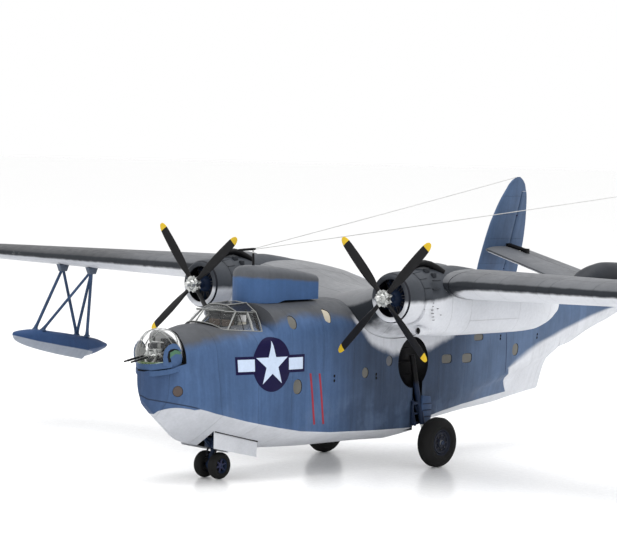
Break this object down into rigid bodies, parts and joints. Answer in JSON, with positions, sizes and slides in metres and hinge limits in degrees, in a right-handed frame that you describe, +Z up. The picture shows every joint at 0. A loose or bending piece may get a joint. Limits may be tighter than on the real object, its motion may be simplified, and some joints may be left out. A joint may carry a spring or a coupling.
{
  "type": "scale model flying boat",
  "caption": "Plastic scale model of a gull-winged amphibious flying boat on tricycle landing gear, with turning propellers, wheels and gun turrets.",
  "frame": {"origin": "on the floor under the middle of the model's box, where the wheels stand at z = 0", "axes": "+X towards the port wing tip, -Y towards the nose, +Z up"},
  "size_m": [0.5, 0.3446, 0.1151],
  "materials": {
    "paint_intermediate_blue": "matt intermediate blue paint, streaked and faded",
    "paint_dark_blue_grey": "matt dark blue-grey paint, weathered",
    "paint_off_white": "matt off-white paint",
    "paint_black": "matt black paint",
    "paint_navy": "dark navy paint",
    "paint_interior_green": "matt interior green paint",
    "paint_gun_metal": "dark gun metal paint",
    "paint_silver": "silver paint",
    "black_tyre": "matt black tyre",
    "clear_plastic": "clear polished plastic"
  },
  "bodies": {
    "airframe": {"canopy": "clear_plastic", "cockpit_interior": "paint_interior_green", "cowl_port": "paint_dark_blue_grey", "cowl_starboard": "paint_dark_blue_grey", "dorsal_ring": "paint_intermediate_blue", "engine_port": "paint_navy", "engine_starboard": "paint_navy", "fin_port": "paint_intermediate_blue", "fin_starboard": "paint_intermediate_blue", "float_port": "paint_intermediate_blue", "float_starboard": "paint_intermediate_blue", "float_struts_port": "paint_intermediate_blue", "float_struts_starboard": "paint_intermediate_blue", "hull": "paint_intermediate_blue", "intake_scoop_port": "paint_black", "intake_scoop_starboard": "paint_black", "main_leg_port": "paint_navy", "main_leg_starboard": "paint_navy", "mast": "paint_black", "nacelle_port": "paint_intermediate_blue", "nacelle_starboard": "paint_intermediate_blue", "nose_door_port": "paint_off_white", "nose_door_starboard": "paint_off_white", "nose_leg": "paint_navy", "radome": "paint_intermediate_blue", "rudder_port": "paint_intermediate_blue", "rudder_starboard": "paint_intermediate_blue", "stabilizer": "paint_dark_blue_grey", "tail_fairing": "paint_dark_blue_grey", "turret_cheek_port": "paint_intermediate_blue", "turret_cheek_starboard": "paint_intermediate_blue", "wing_centre": "paint_dark_blue_grey", "wing_outer_port": "paint_dark_blue_grey", "wing_outer_starboard": "paint_dark_blue_grey"},
    "nose_wheels": {"nose_wheel_hubs": "paint_navy", "nose_tyre_port": "black_tyre", "nose_tyre_starboard": "black_tyre"},
    "nose_turret": {"nose_turret_dome": "clear_plastic", "nose_guns": "paint_gun_metal"},
    "dorsal_turret": {"dorsal_turret_dome": "clear_plastic", "dorsal_gun_port": "paint_gun_metal", "dorsal_gun_starboard": "paint_gun_metal"},
    "tail_turret": {"tail_turret_dome": "clear_plastic", "tail_gun_port": "paint_gun_metal", "tail_gun_starboard": "paint_gun_metal"},
    "propeller_port": {"propeller_hub_port": "paint_silver", "propeller_blades_port": "paint_black"},
    "main_wheel_port": {"main_tyre_port": "black_tyre", "main_hub_port": "paint_navy"},
    "propeller_starboard": {"propeller_hub_starboard": "paint_silver", "propeller_blades_starboard": "paint_black"},
    "main_wheel_starboard": {"main_tyre_starboard": "black_tyre", "main_hub_starboard": "paint_navy"}
  },
  "joints": [
    {"name": "propeller_port_spin", "type": "hinge", "parent": "airframe", "child": "propeller_port", "pos_m": [0.0507, -0.08975, 0.0698], "axis": [0, -1, 0], "continuous": true},
    {"name": "main_wheel_port_spin", "type": "hinge", "parent": "airframe", "child": "main_wheel_port", "pos_m": [0.0303, -0.03175, 0.0099], "axis": [1, 0, 0], "continuous": true},
    {"name": "propeller_starboard_spin", "type": "hinge", "parent": "airframe", "child": "propeller_starboard", "pos_m": [-0.0507, -0.08975, 0.0698], "axis": [0, -1, 0], "continuous": true},
    {"name": "main_wheel_starboard_spin", "type": "hinge", "parent": "airframe", "child": "main_wheel_starboard", "pos_m": [-0.0303, -0.03175, 0.0099], "axis": [1, 0, 0], "continuous": true},
    {"name": "nose_wheels_spin", "type": "hinge", "parent": "airframe", "child": "nose_wheels", "pos_m": [0, -0.12775, 0.0051], "axis": [1, 0, 0], "continuous": true},
    {"name": "nose_turret_elevation", "type": "hinge", "parent": "airframe", "child": "nose_turret", "pos_m": [0, -0.15645, 0.0487], "axis": [-1, 0, 0], "range_deg": [-15, 50]},
    {"name": "dorsal_turret_traverse", "type": "hinge", "parent": "airframe", "child": "dorsal_turret", "pos_m": [0, 0.03025, 0.0687], "axis": [0, 0, 1], "continuous": true},
    {"name": "tail_turret_traverse", "type": "hinge", "parent": "airframe", "child": "tail_turret", "pos_m": [0, 0.16075, 0.0646], "axis": [0, 0, 1], "range_deg": [-40, 40]}
  ]
}
